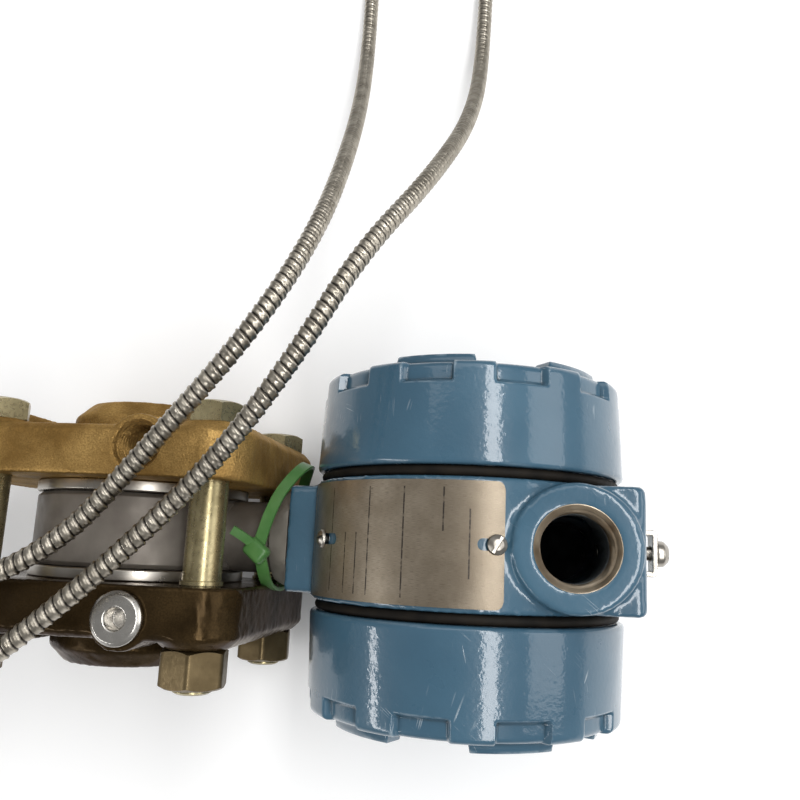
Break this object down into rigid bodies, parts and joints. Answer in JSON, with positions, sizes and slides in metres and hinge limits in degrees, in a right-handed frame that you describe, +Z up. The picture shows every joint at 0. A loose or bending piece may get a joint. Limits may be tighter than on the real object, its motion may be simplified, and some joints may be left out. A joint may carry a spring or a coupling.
{
  "type": "pressure transmitter",
  "caption": "Differential pressure transmitter: blue two-compartment housing with screw covers on a sensor cell clamped between bolted process flanges, with armoured capillaries.",
  "frame": {"origin": "bottom centre of the box round the instrument without its capillaries, where it lies on its back", "axes": "+X along the stem from the flanges to the housing, +Y along the housing's covers, +Z up, the way the open conduit entry faces"},
  "size_m": [0.3409, 0.423, 0.1083],
  "materials": {
    "blue_paint": "gloss paint",
    "seal_rubber": "satin",
    "yellow_casting": "yellow chromate",
    "brown_casting": "dark varnish",
    "yellow_steel": "yellow chromate",
    "stainless": "satin",
    "bright_stainless": "brushed",
    "armour": "bright",
    "green_plastic": "gloss",
    "board": "satin",
    "black_plastic": "satin",
    "brass": "satin"
  },
  "bodies": {
    "sensor": {"high_flange": "yellow_casting", "low_flange": "brown_casting", "sensor_module": "stainless", "isolator_high": "stainless", "isolator_low": "stainless", "lock_nut": "stainless", "cable_tie": "green_plastic", "flange_bolt_1": "yellow_steel", "flange_bolt_2": "yellow_steel", "flange_bolt_3": "yellow_steel", "flange_bolt_4": "yellow_steel", "flange_nut_1": "yellow_steel", "flange_nut_2": "yellow_steel", "flange_nut_3": "yellow_steel", "flange_nut_4": "yellow_steel", "vent_plug_low_front": "stainless", "vent_plug_low_rear": "stainless", "vent_plug_high_rear": "stainless", "capillary_high_fitting": "stainless", "capillary_low_fitting": "stainless", "capillary_high_tube": "armour", "capillary_high_coil": "armour", "capillary_high_end": "armour", "capillary_low_tube": "armour", "capillary_low_coil": "armour", "capillary_low_end": "armour"},
    "housing": {"electronics_housing": "blue_paint", "ground_clamp": "bright_stainless", "ground_screw": "bright_stainless", "rear_conduit_plug": "stainless", "terminal_block": "black_plastic", "nameplate": "bright_stainless", "nameplate_screw_1": "bright_stainless", "nameplate_screw_2": "bright_stainless", "amplifier_board": "board", "board_post_1": "brass", "board_post_2": "brass", "board_post_3": "brass", "terminal_screw_1": "brass", "terminal_screw_2": "brass", "terminal_screw_3": "brass"},
    "circuit_seal": {"circuit_cover_seal": "seal_rubber"},
    "circuit_cover": {"circuit_cover": "blue_paint"},
    "terminal_seal": {"terminal_cover_seal": "seal_rubber"},
    "terminal_cover": {"terminal_cover": "blue_paint"},
    "zero_adjuster": {"zero_adjuster": "brass"},
    "span_adjuster": {"span_adjuster": "brass"}
  },
  "joints": [
    {"name": "housing_swivel", "type": "hinge", "parent": "sensor", "child": "housing", "pos_m": [0.0101, 0, 0.048], "axis": [1, 0, 0], "range_deg": [-90, 90]},
    {"name": "circuit_cover_draw", "type": "slide", "parent": "housing", "child": "circuit_seal", "axis": [0, 1, 0], "range_m": [0, 0.01]},
    {"name": "circuit_cover_turn", "type": "hinge", "parent": "circuit_seal", "child": "circuit_cover", "pos_m": [0.0646, 0.035, 0.048], "axis": [0, 1, 0], "range_deg": [0, 1800]},
    {"name": "terminal_cover_draw", "type": "slide", "parent": "housing", "child": "terminal_seal", "axis": [0, -1, 0], "range_m": [0, 0.01]},
    {"name": "terminal_cover_turn", "type": "hinge", "parent": "terminal_seal", "child": "terminal_cover", "pos_m": [0.0646, -0.035, 0.048], "axis": [0, -1, 0], "range_deg": [0, 1800]},
    {"name": "zero_turn", "type": "hinge", "parent": "housing", "child": "zero_adjuster", "pos_m": [0.04887, 0.008, 0.08694], "axis": [-0.3746, 0, 0.9272], "continuous": true},
    {"name": "span_turn", "type": "hinge", "parent": "housing", "child": "span_adjuster", "pos_m": [0.04887, -0.008, 0.08694], "axis": [-0.3746, 0, 0.9272], "continuous": true}
  ],
  "couplings": [
    {"joint": "circuit_cover_draw", "follows": "circuit_cover_turn", "m_per_rad": 0.00031831},
    {"joint": "terminal_cover_draw", "follows": "terminal_cover_turn", "m_per_rad": 0.00031831}
  ]
}
